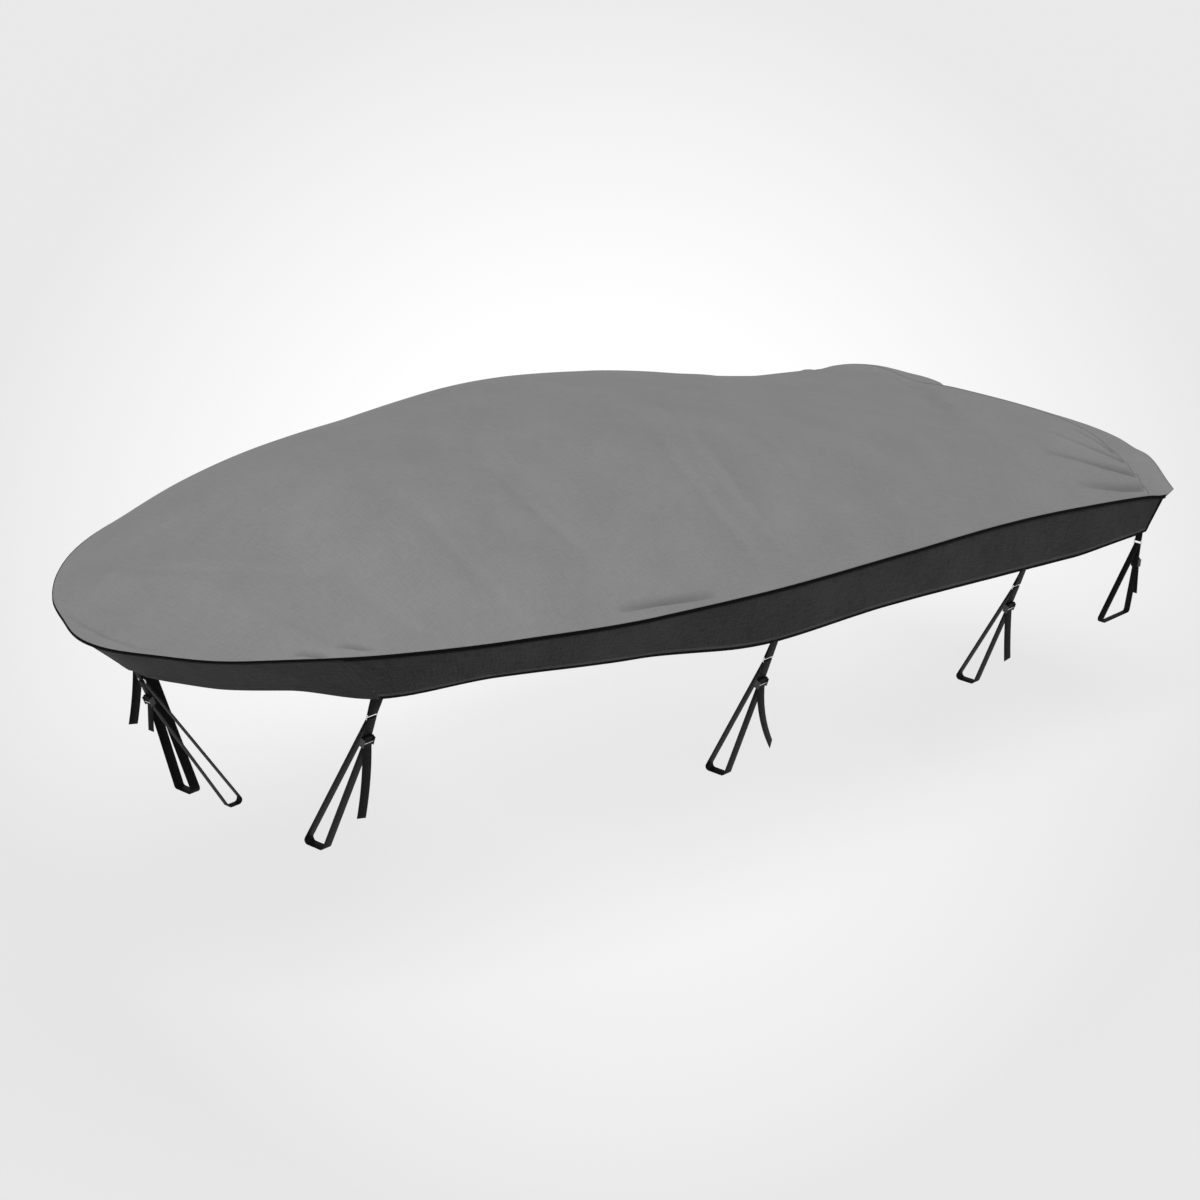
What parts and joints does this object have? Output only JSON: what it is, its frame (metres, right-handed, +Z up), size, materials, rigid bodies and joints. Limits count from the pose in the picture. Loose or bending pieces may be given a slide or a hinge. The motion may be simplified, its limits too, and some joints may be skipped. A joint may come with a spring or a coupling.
{
  "type": "boat cover",
  "caption": "Fitted fabric cover with a crowned top, a bound seam, a skirt and buckled webbing straps that tie it down.",
  "frame": {"origin": "underside of the top on the centreline, 2.10 m aft of the tip of the bow, where what carries the cover holds it up", "axes": "+X aft, +Y to starboard, +Z up"},
  "size_m": [4.3019, 1.9256, 1.2535],
  "materials": {
    "top_cloth": "matt light grey woven polyester",
    "skirt_cloth": "matt charcoal woven polyester",
    "binding": "matt black tape",
    "webbing": "black ribbed webbing",
    "plated_steel": "zinc plated",
    "black_plastic": "moulded, satin"
  },
  "bodies": {
    "root": {"top_panel": "top_cloth", "stern_panel": "top_cloth", "bow_skirt": "skirt_cloth", "side_skirt_port": "skirt_cloth", "side_skirt_starboard": "skirt_cloth", "transom_skirt": "skirt_cloth", "bow_binding": "binding", "side_binding_port": "binding", "side_binding_starboard": "binding", "bow_tab": "webbing", "bow_ring": "plated_steel", "bow_buckle": "black_plastic", "bow_buckle_bar": "plated_steel", "bow_strap": "webbing", "front_port_tab": "webbing", "front_port_ring": "plated_steel", "front_port_buckle": "black_plastic", "front_port_buckle_bar": "plated_steel", "front_port_strap": "webbing", "front_starboard_tab": "webbing", "front_starboard_ring": "plated_steel", "front_starboard_buckle": "black_plastic", "front_starboard_buckle_bar": "plated_steel", "front_starboard_strap": "webbing", "middle_port_tab": "webbing", "middle_port_ring": "plated_steel", "middle_port_buckle": "black_plastic", "middle_port_buckle_bar": "plated_steel", "middle_port_strap": "webbing", "middle_starboard_tab": "webbing", "middle_starboard_ring": "plated_steel", "middle_starboard_buckle": "black_plastic", "middle_starboard_buckle_bar": "plated_steel", "middle_starboard_strap": "webbing", "rear_port_tab": "webbing", "rear_port_ring": "plated_steel", "rear_port_buckle": "black_plastic", "rear_port_buckle_bar": "plated_steel", "rear_port_strap": "webbing", "rear_starboard_tab": "webbing", "rear_starboard_ring": "plated_steel", "rear_starboard_buckle": "black_plastic", "rear_starboard_buckle_bar": "plated_steel", "rear_starboard_strap": "webbing", "stern_port_tab": "webbing", "stern_port_ring": "plated_steel", "stern_port_buckle": "black_plastic", "stern_port_buckle_bar": "plated_steel", "stern_port_strap": "webbing", "stern_starboard_tab": "webbing", "stern_starboard_ring": "plated_steel", "stern_starboard_buckle": "black_plastic", "stern_starboard_buckle_bar": "plated_steel", "stern_starboard_strap": "webbing"}
  },
  "joints": []
}
